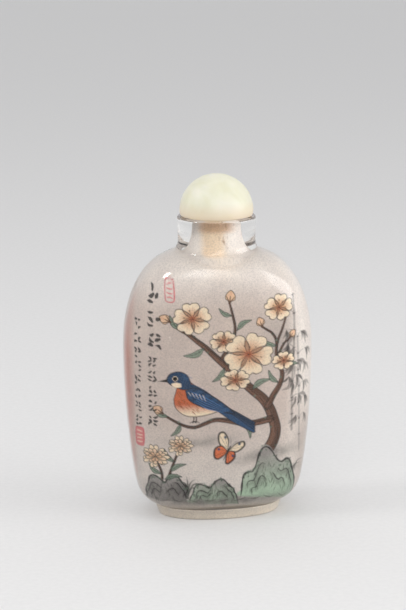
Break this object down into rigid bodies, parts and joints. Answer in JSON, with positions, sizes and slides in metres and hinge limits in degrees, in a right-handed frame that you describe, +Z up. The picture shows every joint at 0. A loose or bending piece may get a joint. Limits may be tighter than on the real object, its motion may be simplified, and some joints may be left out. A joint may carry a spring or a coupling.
{
  "type": "snuff bottle",
  "caption": "Flattened clear glass snuff bottle with rounded shoulders, a short round neck, an oval foot and a domed stone stopper on a cork, painted on the inside.",
  "frame": {"origin": "on the surface that the bottle stands on, under the middle of its oval foot", "axes": "+Z up along the neck's axis, +X across the width of the flattened body, and the main painted face looks along -Y"},
  "size_m": [0.04, 0.023, 0.0733],
  "materials": {
    "glass_bottle": "clear polished glass outside, frosted and painted on the inside wall of the hollow",
    "stopper_dome": "polished pale greenish cream stone, slightly see-through at its edge",
    "stopper_cork": "raw cork with darker pits and cracks"
  },
  "bodies": {
    "root": {"glass_bottle": "glass_bottle", "stopper_dome": "stopper_dome", "stopper_cork": "stopper_cork"}
  },
  "joints": []
}
